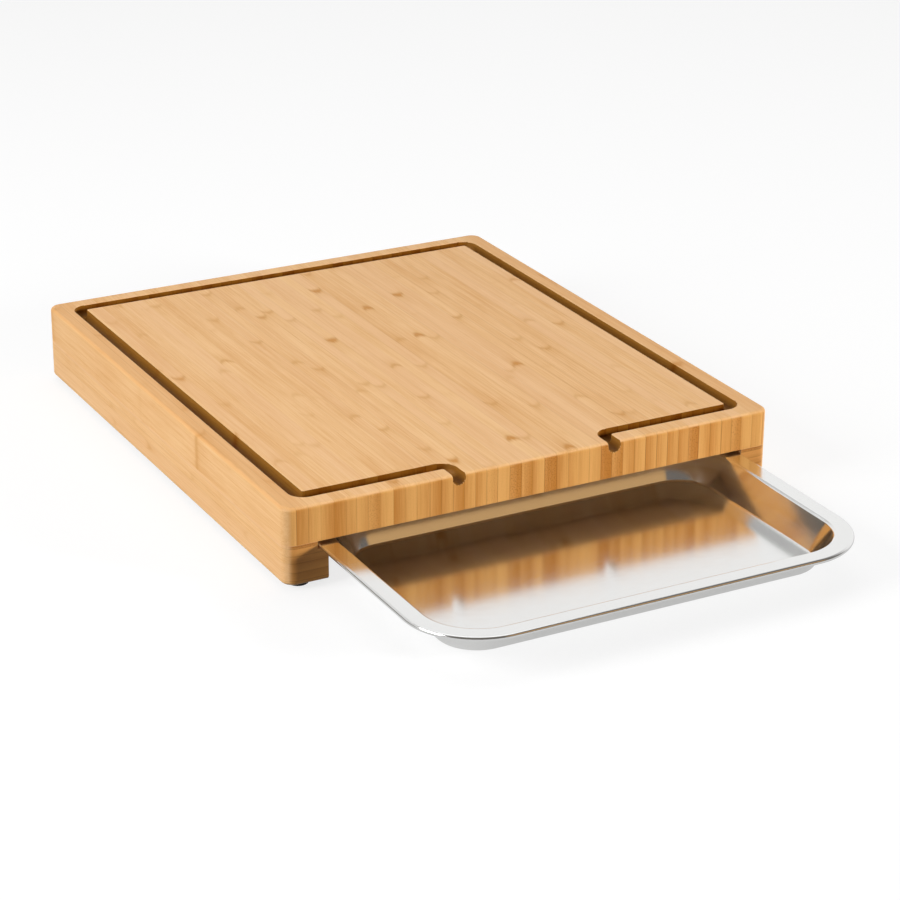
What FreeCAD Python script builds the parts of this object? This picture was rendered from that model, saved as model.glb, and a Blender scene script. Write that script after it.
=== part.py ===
import FreeCAD, Part
import math
import os

import Sketcher

# A cutting board with a drip tray. A slab of glued bamboo strips lies on three rails, which leave a
# bay open at the front. A pressed steel tray hangs in the bay by its rim, in slots in the side rails
# that stop where the tray is pushed home, and catches what runs out of the two outlets of the slab's
# juice groove.
#
# Millimetres. X runs from left to right, Y from front to back, and Z up from the surface that the
# feet stand on. The origin is under the middle of the whole object, with its tray pulled out.

SIZES = {
    # the wooden board
    "board_width": 340.0,
    "board_depth": 390.0,
    "slab_thickness": 24.0,
    "rail_height": 26.0,
    "board_corner_radius": 8.0,
    "top_edge_radius": 2.5,
    "bottom_edge_chamfer": 1.6,
    "eased_edge": 0.8,
    # the juice groove, cut with a ball-nosed tool: its inset, corners and bends are those of the
    # tool's path
    "groove_width": 8.5,
    "groove_depth": 7.0,
    "groove_inset": 16.5,
    "groove_corner_radius": 6.0,
    "outlet_spacing": 109.0,
    "outlet_bend_radius": 6.0,
    # the rails, and the slots that the tray's rim runs in
    "side_rail_width": 28.0,
    "back_rail_width": 24.0,
    "slot_height": 5.0,
    "slot_depth": 7.0,
    "slot_end_radius": 6.0,
    # the tray
    "tray_length": 197.0,
    "tray_pull_out": 155.0,
    "tray_side_clearance": 0.5,
    "tray_seat_clearance": 0.3,
    "tray_stop_gap": 1.0,
    "tray_corner_radius": 46.5,
    "sheet_thickness": 0.8,
    "rim_width": 12.0,
    "rim_bend_radius": 1.6,
    "hem_thickness": 3.0,
    "hem_width": 3.6,
    "hem_nose_bevel": 0.8,
    "basin_depth": 19.2,
    "basin_draft_angle": 30.0,
    "floor_bend_radius": 2.4,
    # the feet and the screws that hold them
    "foot_inset_from_side": 13.0,
    "foot_inset_from_front": 11.5,
    "foot_height": 3.5,
    "foot_diameter": 13.0,
    "foot_hole_clearance": 0.2,
    "screw_diameter": 3.0,
    "screw_length": 14.0,
    "screw_head_diameter": 6.0,
    "screw_head_height": 1.6,
    "screw_head_recess": 0.5,
    "pilot_clearance": 0.05,
}

# How far a cutting shape reaches past the face that it cuts.
OVERRUN = 5.0
# How far apart two places may lie and still count as one.
SAME_PLACE = 1e-4
# The flat ring at the foot of the tray's wall and the seam where the floor takes over from it lie
# this many bend radii in from the wall.
RING_IN_BENDS = 2.0
SEAM_IN_BENDS = 1.5
FULL_TURN = 360.0
UPWARDS = FreeCAD.Vector(0, 0, 1)

DOCUMENT = FreeCAD.newDocument("CuttingBoard")
SHEET = DOCUMENT.addObject("Spreadsheet::Sheet", "Sizes")
for row, (alias, millimetres) in enumerate(SIZES.items(), start=1):
    SHEET.set(f"A{row}", alias)
    SHEET.set(f"B{row}", str(millimetres))
    SHEET.setAlias(f"B{row}", alias)
DOCUMENT.recompute()

# Places and sizes that follow from the sheet, as expressions.
HALF_WIDTH = "(Sizes.board_width / 2)"
FRONT_FACE_Y = "(Sizes.tray_pull_out - Sizes.board_depth) / 2"
WOOD_UNDERSIDE_Z = "Sizes.foot_height"
SLAB_UNDERSIDE_Z = "Sizes.foot_height + Sizes.rail_height"
LEDGE_HEIGHT = "(Sizes.rail_height - Sizes.slot_height)"
BAY_HALF_WIDTH = "(Sizes.board_width / 2 - Sizes.side_rail_width)"
SLOT_HALF_WIDTH = "(Sizes.board_width / 2 - Sizes.side_rail_width + Sizes.slot_depth)"
TRAY_HALF_WIDTH = f"({SLOT_HALF_WIDTH} - Sizes.tray_side_clearance)"
RIM_IN_SLOT = "(Sizes.slot_depth - Sizes.tray_side_clearance)"
RIM_TOP_Z = f"Sizes.foot_height + {LEDGE_HEIGHT} + Sizes.tray_seat_clearance + Sizes.hem_thickness"
SCREW_RADIUS = "Sizes.screw_diameter / 2"
SCREW_HEAD_SEAT_Z = "(Sizes.screw_head_recess + Sizes.screw_head_height)"
FOOT_INSET_X = f"({HALF_WIDTH} - Sizes.foot_inset_from_side)"


def measure(expression):
    """The value, in millimetres, of an expression over the sheet."""
    return float(SHEET.evalExpression(str(expression)))


def new_body(label, across, along, above):
    """A body whose own origin lies at the three expressions."""
    body = DOCUMENT.addObject("PartDesign::Body", label)
    body.Label = label
    body.setExpression("Placement.Base.x", across)
    body.setExpression("Placement.Base.y", along)
    body.setExpression("Placement.Base.z", above)
    return body


def new_sketch(body, name, plane_role, offset=None):
    """A sketch on one of the body's own origin planes, or at an offset along its normal."""
    sketch = body.newObject("Sketcher::SketchObject", name)
    plane = next(item for item in body.Origin.OriginFeatures if item.Role == plane_role)
    sketch.AttachmentSupport = [(plane, "")]
    sketch.MapMode = "FlatFace"
    if offset is not None:
        sketch.setExpression("AttachmentOffset.Base.z", str(offset))
    return sketch


def dimension(sketch, kind, where, expression):
    """A driving dimension of the sketch, bound to the sheet."""
    index = sketch.addConstraint(Sketcher.Constraint(kind, *where, measure(expression)))
    sketch.setExpression(f"Constraints[{index}]", str(expression))


def fix_point(sketch, where, across, up):
    """Holds a point of the sketch at two expressions, counted from the sketch's origin."""
    for kind, axis, expression in (("DistanceX", -2, across), ("DistanceY", -1, up)):
        if abs(measure(expression)) < SAME_PLACE:
            sketch.addConstraint(Sketcher.Constraint("PointOnObject", *where, axis))
        else:
            dimension(sketch, kind, (-1, 1, *where), expression)


def bend(before, corner, after, radius):
    """The arc of a rounded corner, with the points where it leaves and meets the straight runs."""
    towards_before = (before - corner).normalize()
    towards_after = (after - corner).normalize()
    half_angle = towards_before.getAngle(towards_after) / 2
    start = corner + towards_before * (radius / math.tan(half_angle))
    end = corner + towards_after * (radius / math.tan(half_angle))
    bisector = (towards_before + towards_after).normalize()
    centre = corner + bisector * (radius / math.sin(half_angle))
    middle = centre - bisector * radius
    return start, Part.Arc(start, middle, end), end


def draw_outline(sketch, corners, closed=True):
    """Draws straight runs between corners (across, up, radius or None), rounded where asked.

    Each corner stays in the sketch as a point that is held at its two expressions, and the runs on
    both sides pass through it.
    """
    points = [FreeCAD.Vector(measure(across), measure(up), 0) for across, up, _ in corners]
    count = len(points)
    starts, ends, arcs = list(points), list(points), {}
    for index, (_, _, radius) in enumerate(corners):
        if radius is not None:
            before, after = points[index - 1], points[(index + 1) % count]
            starts[index], arc, ends[index] = bend(before, points[index], after, measure(radius))
            arcs[index] = sketch.addGeometry(arc, False)
    runs = count if closed else count - 1
    lines = [
        sketch.addGeometry(Part.LineSegment(ends[index], starts[(index + 1) % count]), False)
        for index in range(runs)
    ]
    for index, (across, up, radius) in enumerate(corners):
        line_in = lines[index - 1] if closed or index > 0 else None
        line_out = lines[index] if index < runs else None
        if radius is None:
            if line_out is not None and line_in is not None:
                sketch.addConstraint(Sketcher.Constraint("Coincident", line_in, 2, line_out, 1))
            where = (line_out, 1) if line_out is not None else (line_in, 2)
            fix_point(sketch, where, across, up)
            continue
        arc = arcs[index]
        arc_start = FreeCAD.Vector(sketch.getPoint(arc, 1))
        near, far = (1, 2) if arc_start.distanceToPoint(starts[index]) < SAME_PLACE else (2, 1)
        sketch.addConstraint(Sketcher.Constraint("Tangent", line_in, 2, arc, near))
        sketch.addConstraint(Sketcher.Constraint("Tangent", arc, far, line_out, 1))
        dimension(sketch, "Radius", (arc,), radius)
        corner = sketch.addGeometry(Part.Point(points[index]), True)
        sketch.addConstraint(Sketcher.Constraint("PointOnObject", corner, 1, line_in))
        sketch.addConstraint(Sketcher.Constraint("PointOnObject", corner, 1, line_out))
        fix_point(sketch, (corner, 1), across, up)
    return sketch


def rectangle(half_width, near, far, radius=None):
    """Corners of a rectangle that is centred on the sketch's upright axis."""
    return [
        (f"-({half_width})", near, radius),
        (half_width, near, radius),
        (half_width, far, radius),
        (f"-({half_width})", far, radius),
    ]


def pad(body, sketch, name, length, reverse=False):
    """Extrudes the sketch along its normal, or against it."""
    feature = body.newObject("PartDesign::Pad", name)
    feature.Profile = sketch
    feature.Reversed = reverse
    feature.setExpression("Length", length)
    DOCUMENT.recompute()
    return feature


def sweep(body, kind, name, section, path):
    """Carries the section along the whole path."""
    feature = body.newObject(kind, name)
    feature.Profile = section
    feature.Spine = (path, [])
    DOCUMENT.recompute()
    return feature


def pocket_upwards(body, base, sketch, name, length):
    """Cuts the sketch's outlines out of the feature, along the sketch's normal."""
    feature = body.newObject("PartDesign::Pocket", name)
    feature.Profile = sketch
    feature.Reversed = True
    feature.setExpression("Length", length)
    DOCUMENT.recompute()
    if feature.Shape.Volume >= base.Shape.Volume:
        raise RuntimeError(f"{name} cuts nothing")
    return feature


def dress_edges(body, base, name, kind, size, chosen):
    """Rounds (kind Fillet) or bevels (kind Chamfer) the edges of the feature that the test chooses."""
    names = [f"Edge{index}" for index, edge in enumerate(base.Shape.Edges, start=1) if chosen(edge)]
    if not names:
        raise RuntimeError(f"{name}: no edge to dress")
    feature = body.newObject(f"PartDesign::{kind}", name)
    feature.Base = (base, names)
    feature.setExpression("Radius" if kind == "Fillet" else "Size", size)
    DOCUMENT.recompute()
    return feature


def is_near(place, other):
    """Whether two coordinates count as the same."""
    return abs(place - other) < SAME_PLACE


def lies_at_height(edge, height):
    """Whether the whole edge lies at one height in its body."""
    return is_near(edge.BoundBox.ZMin, height) and is_near(edge.BoundBox.ZMax, height)


def cutting_slab():
    """The slab, with the juice groove round its top and the groove's two outlets in its front."""
    body = new_body("cutting_slab", "0", FRONT_FACE_Y, SLAB_UNDERSIDE_Z)
    outline = new_sketch(body, "SlabOutline", "XY_Plane")
    draw_outline(outline, rectangle(HALF_WIDTH, "0", "Sizes.board_depth", "Sizes.board_corner_radius"))
    slab = pad(body, outline, "Slab", "Sizes.slab_thickness")
    top = measure("Sizes.slab_thickness")
    slab = dress_edges(
        body, slab, "TopEdge", "Fillet", "Sizes.top_edge_radius",
        lambda edge: lies_at_height(edge, top),
    )

    run = f"({HALF_WIDTH} - Sizes.groove_inset)"
    back = "Sizes.board_depth - Sizes.groove_inset"
    outlet = "Sizes.outlet_spacing / 2"
    corner, turn = "Sizes.groove_corner_radius", "Sizes.outlet_bend_radius"
    path = new_sketch(body, "GroovePath", "XY_Plane", "Sizes.slab_thickness")
    draw_outline(
        path,
        [
            (f"-{outlet}", f"-{OVERRUN}", None),
            (f"-{outlet}", "Sizes.groove_inset", turn),
            (f"-{run}", "Sizes.groove_inset", corner),
            (f"-{run}", back, corner),
            (run, back, corner),
            (run, "Sizes.groove_inset", corner),
            (outlet, "Sizes.groove_inset", turn),
            (outlet, f"-{OVERRUN}", None),
        ],
        closed=False,
    )
    section = new_sketch(body, "GrooveSection", "XZ_Plane", OVERRUN)
    draw_groove_section(section, f"-{outlet}")
    uncut = slab.Shape.Volume
    groove = sweep(body, "PartDesign::SubtractivePipe", "JuiceGroove", section, path)
    if groove.Shape.Volume >= uncut:
        raise RuntimeError("the juice groove cuts nothing")
    return body


def draw_groove_section(sketch, middle):
    """Draws the section that a ball-nosed tool cuts: a round floor between upright walls."""
    left, right = (f"{middle} {sign} Sizes.groove_width / 2" for sign in "-+")
    floor_centre = "Sizes.slab_thickness - Sizes.groove_depth + Sizes.groove_width / 2"
    clear = f"Sizes.slab_thickness + {OVERRUN}"
    places = [(right, floor_centre), (right, clear), (left, clear), (left, floor_centre)]
    draw_outline(sketch, [(across, up, None) for across, up in places], closed=False)
    centre = FreeCAD.Vector(measure(middle), measure(floor_centre), 0)
    tool = Part.Circle(centre, UPWARDS, measure("Sizes.groove_width / 2"))
    floor = sketch.addGeometry(Part.ArcOfCircle(tool, math.pi, math.tau), False)
    right_wall, left_wall = 0, len(places) - 2
    sketch.addConstraint(Sketcher.Constraint("Coincident", floor, 2, right_wall, 1))
    sketch.addConstraint(Sketcher.Constraint("Tangent", left_wall, 2, floor, 1))


def slot_length():
    """How far a slot reaches in: its end stops the round corner of the rim of a tray pushed home."""
    radius = "Sizes.tray_corner_radius"
    corner_in_slot = f"sqrt({radius} ^ 2 - ({radius} - {RIM_IN_SLOT}) ^ 2)"
    return f"(Sizes.tray_length - {radius} + {corner_in_slot} + Sizes.tray_stop_gap)"


def side_rail(label, side):
    """A rail under one side of the slab (side is -1 or 1), with the slot for the tray's rim."""
    body = new_body(label, "0", FRONT_FACE_Y, WOOD_UNDERSIDE_Z)
    outer, bay, slot = (
        f"{side} * {half_width}" for half_width in (HALF_WIDTH, BAY_HALF_WIDTH, SLOT_HALF_WIDTH)
    )
    outline = new_sketch(body, "RailOutline", "XY_Plane")
    draw_outline(
        outline,
        [
            (outer, "0", "Sizes.board_corner_radius"),
            (outer, "Sizes.board_depth", "Sizes.board_corner_radius"),
            (bay, "Sizes.board_depth", None),
            (bay, "0", None),
        ],
    )
    rail = pad(body, outline, "Rail", "Sizes.rail_height")
    bay_x, ledge_height = measure(bay), measure(LEDGE_HEIGHT)
    rail = dress_edges(
        body, rail, "OuterBottomEdge", "Chamfer", "Sizes.bottom_edge_chamfer",
        lambda edge: lies_at_height(edge, 0) and not is_near(edge.BoundBox.Center.x, bay_x),
    )

    into_bay = f"({bay} - {side} * {OVERRUN})"
    milling = new_sketch(body, "SlotOutline", "XY_Plane", LEDGE_HEIGHT)
    draw_outline(
        milling,
        [
            (into_bay, f"-{OVERRUN}", None),
            (slot, f"-{OVERRUN}", None),
            (slot, slot_length(), "Sizes.slot_end_radius"),
            (into_bay, slot_length(), None),
        ],
    )
    rail = pocket_upwards(body, rail, milling, "Slot", f"Sizes.slot_height + {OVERRUN}")
    rail = dress_edges(
        body, rail, "LedgeEdge", "Fillet", "Sizes.eased_edge",
        lambda edge: lies_at_height(edge, ledge_height) and is_near(edge.BoundBox.Center.x, bay_x),
    )

    pilots = new_sketch(body, "PilotHoles", "XY_Plane")
    for inset in ("Sizes.foot_inset_from_front", "(Sizes.board_depth - Sizes.foot_inset_from_front)"):
        across = f"{side} * {FOOT_INSET_X}"
        radius = f"{SCREW_RADIUS} + Sizes.pilot_clearance"
        centre = FreeCAD.Vector(measure(across), measure(inset), 0)
        circle = pilots.addGeometry(Part.Circle(centre, UPWARDS, measure(radius)), False)
        dimension(pilots, "Radius", (circle,), radius)
        fix_point(pilots, (circle, 3), across, inset)
    pocket_upwards(body, rail, pilots, "PilotHoleDrilling", "Sizes.screw_length")
    return body


def back_rail():
    """The rail that closes the bay at the back, between the side rails."""
    along = f"{FRONT_FACE_Y} + Sizes.board_depth - Sizes.back_rail_width"
    body = new_body("back_rail", "0", along, WOOD_UNDERSIDE_Z)
    outline = new_sketch(body, "RailOutline", "XY_Plane")
    draw_outline(outline, rectangle(BAY_HALF_WIDTH, "0", "Sizes.back_rail_width"))
    rail = pad(body, outline, "Rail", "Sizes.rail_height")
    outside = measure("Sizes.back_rail_width")
    dress_edges(
        body, rail, "OuterBottomEdge", "Chamfer", "Sizes.bottom_edge_chamfer",
        lambda edge: lies_at_height(edge, 0) and is_near(edge.BoundBox.YMin, outside),
    )
    return body


def drip_tray():
    """The pressed tray: a hemmed flat rim round a basin with drafted walls, from one sheet."""
    along = f"{FRONT_FACE_Y} - Sizes.tray_pull_out"
    body = new_body("drip_tray", "0", along, RIM_TOP_Z)
    path = new_sketch(body, "RimOutline", "XY_Plane")
    corners = rectangle(TRAY_HALF_WIDTH, "0", "Sizes.tray_length", "Sizes.tray_corner_radius")
    draw_outline(path, corners)

    thickness, depth = "Sizes.sheet_thickness", "Sizes.basin_depth"
    draft = "Sizes.basin_draft_angle"
    floor_edge = f"(Sizes.rim_width + {depth} * tan({draft}))"
    shift = f"{thickness} * (1 - sin({draft})) / cos({draft})"
    outer_bend = f"Sizes.floor_bend_radius + {thickness}"
    ring_edge = f"({floor_edge} + {RING_IN_BENDS} * Sizes.floor_bend_radius)"
    bevel, hem = "Sizes.hem_nose_bevel", "Sizes.hem_thickness"
    section = new_sketch(body, "TraySection", "YZ_Plane")
    draw_outline(
        section,
        [
            ("0", f"-{bevel}", None),
            (bevel, "0", None),
            ("Sizes.rim_width", "0", f"Sizes.rim_bend_radius + {thickness}"),
            (floor_edge, f"-{depth}", "Sizes.floor_bend_radius"),
            (ring_edge, f"-{depth}", None),
            (ring_edge, f"-{depth} - {thickness}", None),
            (f"{floor_edge} - {shift}", f"-{depth} - {thickness}", outer_bend),
            (f"Sizes.rim_width - {shift}", f"-{thickness}", "Sizes.rim_bend_radius"),
            ("Sizes.hem_width", f"-{thickness}", None),
            ("Sizes.hem_width", f"-{hem}", None),
            (bevel, f"-{hem}", None),
            ("0", f"-({hem} - {bevel})", None),
        ],
    )
    sweep(body, "PartDesign::AdditivePipe", "RimAndWalls", section, path)

    floor = new_sketch(body, "FloorOutline", "XY_Plane", f"-{depth} - {thickness}")
    seam = f"({floor_edge} + {SEAM_IN_BENDS} * Sizes.floor_bend_radius)"
    draw_outline(
        floor,
        rectangle(
            f"({TRAY_HALF_WIDTH} - {seam})", seam, f"Sizes.tray_length - {seam}",
            f"Sizes.tray_corner_radius - {seam}",
        ),
    )
    pad(body, floor, "Floor", thickness)
    return body


def foot(label, side, end):
    """A rubber foot, turned about its screw, under one corner (side and end are -1 or 1)."""
    body = new_body(label, f"{side} * {FOOT_INSET_X}", foot_along(end), "0")
    outside, hole = "Sizes.foot_diameter / 2", f"{SCREW_RADIUS} + Sizes.foot_hole_clearance"
    counterbore = "Sizes.screw_head_diameter / 2 + Sizes.foot_hole_clearance"
    section = new_sketch(body, "FootSection", "XZ_Plane")
    draw_outline(
        section,
        [
            (counterbore, "0", None),
            (outside, "0", None),
            (outside, "Sizes.foot_height", None),
            (hole, "Sizes.foot_height", None),
            (hole, SCREW_HEAD_SEAT_Z, None),
            (counterbore, SCREW_HEAD_SEAT_Z, None),
        ],
    )
    turned = body.newObject("PartDesign::Revolution", "Turned")
    turned.Profile = section
    turned.ReferenceAxis = (section, ["V_Axis"])
    turned.Angle = FULL_TURN
    DOCUMENT.recompute()
    return body


def foot_along(end):
    """Where a foot's middle lies from front to back (end is -1 for the front and 1 for the back)."""
    if end < 0:
        return f"{FRONT_FACE_Y} + Sizes.foot_inset_from_front"
    return f"{FRONT_FACE_Y} + Sizes.board_depth - Sizes.foot_inset_from_front"


def foot_screw(label, side, end):
    """A pan-head screw, head down, from its foot up into the rail."""
    head = DOCUMENT.addObject("Part::Cylinder", f"{label}_head")
    head.setExpression("Radius", "Sizes.screw_head_diameter / 2")
    head.setExpression("Height", "Sizes.screw_head_height")
    head.setExpression("Placement.Base.z", "Sizes.screw_head_recess")
    shank = DOCUMENT.addObject("Part::Cylinder", f"{label}_shank")
    shank.setExpression("Radius", SCREW_RADIUS)
    shank.setExpression("Height", "Sizes.screw_length - Sizes.screw_head_height")
    shank.setExpression("Placement.Base.z", SCREW_HEAD_SEAT_Z)
    screw = DOCUMENT.addObject("Part::MultiFuse", label)
    screw.Shapes = [head, shank]
    screw.Refine = True
    screw.setExpression("Placement.Base.x", f"{side} * {FOOT_INSET_X}")
    screw.setExpression("Placement.Base.y", foot_along(end))
    DOCUMENT.recompute()
    return screw


FOOT_PLACES = {
    "front_left_foot": (-1, -1),
    "front_right_foot": (1, -1),
    "back_left_foot": (-1, 1),
    "back_right_foot": (1, 1),
}

feet = DOCUMENT.addObject("Part::Compound", "feet")
feet.Label = "feet"
feet.Links = [foot(label, side, end) for label, (side, end) in FOOT_PLACES.items()]
screws = DOCUMENT.addObject("Part::Compound", "foot_screws")
screws.Label = "foot_screws"
screws.Links = [foot_screw(f"{label}_screw", side, end) for label, (side, end) in FOOT_PLACES.items()]
parts = [cutting_slab(), side_rail("left_rail", -1), side_rail("right_rail", 1), back_rail(), drip_tray()]
parts += [feet, screws]
DOCUMENT.recompute()

for item in DOCUMENT.Objects:
    if "Invalid" in item.State or "Error" in item.State:
        raise RuntimeError(f"{item.Name} failed: {item.State}")
for part in parts:
    if part.Shape.isNull() or not part.Shape.isValid():
        raise RuntimeError(f"{part.Label} has no valid shape")

os.makedirs("parts", exist_ok=True)
for part in parts:
    part.Shape.exportStep(os.path.join("parts", f"{part.Label}.step"))
    print(f"{part.Label}: {len(part.Shape.Solids)} solid(s), {part.Shape.Volume / 1000:.1f} cm3")
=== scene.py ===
"""A bamboo cutting board, and the steel drip tray that slides out from under it.

The board is a slab of bamboo strips on edge, on three bamboo rails. Liquid runs round the slab's
juice groove and out of two outlets in its front, into the tray, which hangs by its rim in slots in
the side rails. Lengths are in metres and angles in radians, unless a name says otherwise.
"""

import logging
import math
from dataclasses import dataclass, field
from enum import Enum

import bmesh
import bpy
from mathutils import Matrix, Vector


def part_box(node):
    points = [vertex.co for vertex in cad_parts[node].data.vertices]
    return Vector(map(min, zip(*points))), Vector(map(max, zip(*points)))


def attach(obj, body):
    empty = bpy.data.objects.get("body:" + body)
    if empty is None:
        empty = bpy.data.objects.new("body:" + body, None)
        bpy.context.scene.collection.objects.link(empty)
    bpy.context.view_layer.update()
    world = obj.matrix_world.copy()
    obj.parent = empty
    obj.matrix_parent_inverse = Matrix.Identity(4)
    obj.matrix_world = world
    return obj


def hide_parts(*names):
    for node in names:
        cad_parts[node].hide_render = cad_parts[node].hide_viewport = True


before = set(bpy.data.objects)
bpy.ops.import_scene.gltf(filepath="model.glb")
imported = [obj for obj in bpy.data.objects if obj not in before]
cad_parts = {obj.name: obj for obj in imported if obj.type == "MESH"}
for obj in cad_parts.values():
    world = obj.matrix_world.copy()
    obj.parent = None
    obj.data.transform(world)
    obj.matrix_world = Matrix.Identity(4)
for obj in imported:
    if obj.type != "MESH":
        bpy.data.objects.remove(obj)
LOG = logging.getLogger("cutting_board")

MM = 0.001
MM_PER_METRE = 1000
# How far a cutting shape reaches past the face that it cuts.
OVERRUN = 5 * MM
# How far apart two places may lie and still count as one.
SAME_PLACE = 0.01 * MM
# The least angle between two faces that makes an edge to round, and that is shaded as a crease.
CRISP_ANGLE = math.radians(40)
CREASE_ANGLE = math.radians(32)
# The flat steps in a round corner, in a rounded edge and in an edge that is only eased.
CORNER_STEPS = 10
EDGE_STEPS = 6
EASED_STEPS = 3
# The range that most of a noise's values lie in, and the middle of that range.
MOST_NOISE = (0.25, 0.75)
MIDDLE_NOISE = (0.3, 0.7)
X, Y, Z = Vector((1, 0, 0)), Vector((0, 1, 0)), Vector((0, 0, 1))
QUARTER = math.pi / 2
WHITE = (1.0, 1.0, 1.0, 1.0)

Socket = bpy.types.NodeSocket
Span = tuple[float, float]
Place = tuple[float, float, float]
Colour = tuple[float, float, float, float]
# A number or a colour, or the socket that gives one.
Number = Socket | float
Paint = Socket | Colour


# ---------------------------------------------------------------------------------------- meshes


class Sweep:
    """Carries an outline along straight runs and round bends, and leaves its skin in the mesh."""

    def __init__(
        self, mesh: bmesh.types.BMesh, outline: list, at: Vector, heading: Vector, axis: Vector
    ) -> None:
        """Starts a sweep.

        Args:
            mesh: the mesh that gets the skin.
            outline: the vertices, and any edges, to carry.
            at: the point that is followed.
            heading: the direction of the first run.
            axis: the axis that bends turn about; a positive angle turns left, seen against it.
        """
        self.mesh = mesh
        self.outline = outline
        self.at = at.copy()
        self.heading = heading.copy()
        self.axis = axis

    def run(self, length: float) -> "Sweep":
        """Carries the outline straight ahead.

        Args:
            length: how far.

        Returns:
            The sweep itself, for the next step.
        """
        step = self.heading * length
        swept = bmesh.ops.spin(
            self.mesh, geom=self.outline, cent=self.at, axis=self.axis, dvec=step, angle=0, steps=1
        )
        self.outline = swept["geom_last"]
        self.at += step
        return self

    def turn(self, angle: float) -> "Sweep":
        """Turns on the spot, for a sharp corner in a line.

        Args:
            angle: how far to turn.

        Returns:
            The sweep itself, for the next step.
        """
        self.heading = Matrix.Rotation(angle, 3, self.axis) @ self.heading
        return self

    def bend(self, radius: float, angle: float, steps: int) -> "Sweep":
        """Carries the outline round an arc.

        Args:
            radius: the radius of the arc that the followed point makes.
            angle: how far to turn.
            steps: the number of flat steps in the arc.

        Returns:
            The sweep itself, for the next step.
        """
        side = self.axis.cross(self.heading) * math.copysign(radius, angle)
        centre = self.at + side
        swept = bmesh.ops.spin(
            self.mesh, geom=self.outline, cent=centre, axis=self.axis, angle=angle, steps=steps
        )
        self.outline = swept["geom_last"]
        turn = Matrix.Rotation(angle, 3, self.axis)
        self.at = centre + turn @ (self.at - centre)
        self.heading = turn @ self.heading
        return self


def block(mesh: bmesh.types.BMesh, low: Vector, high: Vector) -> None:
    """Adds a rectangular block.

    Args:
        mesh: the mesh that gets it.
        low: its lowest corner.
        high: its highest corner.
    """
    place = Matrix.Translation((low + high) / 2) @ Matrix.Diagonal((*(high - low), 1))
    bmesh.ops.create_cube(mesh, size=1, matrix=place)


def upright_edges(mesh: bmesh.types.BMesh) -> list[bmesh.types.BMEdge]:
    """The edges that stand straight up."""
    least_rise = 0.999
    return [
        edge
        for edge in mesh.edges
        if abs((edge.verts[0].co - edge.verts[1].co).normalized().z) > least_rise
    ]


def edges_at(mesh: bmesh.types.BMesh, direction: Vector, place: float) -> list[bmesh.types.BMEdge]:
    """The edges that lie in one plane.

    Args:
        mesh: the mesh to look in.
        direction: the plane's normal.
        place: the plane's distance from the origin along it.

    Returns:
        The edges that have both ends in the plane.
    """
    return [
        edge
        for edge in mesh.edges
        if all(abs(vert.co.dot(direction) - place) < SAME_PLACE for vert in edge.verts)
    ]


def crisp_edges(mesh: bmesh.types.BMesh) -> list[bmesh.types.BMEdge]:
    """The edges where two faces meet at a crisp angle."""
    return [edge for edge in mesh.edges if edge.is_manifold and edge.calc_face_angle(0) > CRISP_ANGLE]


def round_off(
    mesh: bmesh.types.BMesh, edges: list[bmesh.types.BMEdge], radius: float, segments: int
) -> None:
    """Rounds edges.

    Args:
        mesh: the mesh they are in.
        edges: the edges to round.
        radius: the radius of the rounding, on a square edge.
        segments: the number of flat steps in it.
    """
    bmesh.ops.bevel(
        mesh, geom=edges, offset=radius, offset_type="OFFSET", segments=segments, profile=0.5,
        affect="EDGES", clamp_overlap=False, material=-1, loop_slide=True,
    )


def close_ends(mesh: bmesh.types.BMesh) -> None:
    """Closes every open end with one face and turns all the faces outwards.

    Args:
        mesh: the mesh to close.
    """
    rim = [edge for edge in mesh.edges if edge.is_boundary]
    if rim:
        bmesh.ops.holes_fill(mesh, edges=rim, sides=0)
    bmesh.ops.recalc_face_normals(mesh, faces=mesh.faces)


def finished(mesh: bmesh.types.BMesh, name: str, *materials: bpy.types.Material) -> bpy.types.Object:
    """Makes a mesh into an object of the scene and lets the mesh go.

    Args:
        mesh: the mesh, in place.
        name: the object's name.
        materials: its materials, in the order of their slots.

    Returns:
        The object, at the origin.
    """
    data = bpy.data.meshes.new(name)
    mesh.to_mesh(data)
    mesh.free()
    for material in materials:
        data.materials.append(material)
    piece = bpy.data.objects.new(name, data)
    bpy.context.scene.collection.objects.link(piece)
    return piece


def settled(piece: bpy.types.Object) -> bmesh.types.BMesh:
    """Takes an object with its modifiers applied back out of the scene, as a mesh to work on.

    Args:
        piece: the object, which is removed.

    Returns:
        A new mesh.
    """
    graph = bpy.context.evaluated_depsgraph_get()
    graph.update()
    data = bpy.data.meshes.new_from_object(piece.evaluated_get(graph))
    mesh = bmesh.new()
    mesh.from_mesh(data)
    bpy.data.objects.remove(piece)
    bpy.data.meshes.remove(data)
    return mesh


def cut(body: bmesh.types.BMesh, tool: bmesh.types.BMesh) -> bmesh.types.BMesh:
    """Cuts one closed mesh out of another. The faces that the tool leaves have its material index, 1.

    Args:
        body: the mesh to cut, which is used up.
        tool: the cutting shape, which is used up.

    Returns:
        What is left of the body.
    """
    for face in tool.faces:
        face.material_index = 1
    outside, inside = (bpy.data.materials.new(f"cut_{side}") for side in ("outside", "inside"))
    blank = finished(body, "blank", outside, inside)
    cutter = finished(tool, "cutter", outside, inside)
    milling = blank.modifiers.new("Milling", "BOOLEAN")
    milling.operation = "DIFFERENCE"
    milling.solver = "EXACT"
    milling.object = cutter
    result = settled(blank)
    bpy.data.objects.remove(cutter)
    for material in (outside, inside):
        bpy.data.materials.remove(material)
    return result


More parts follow.
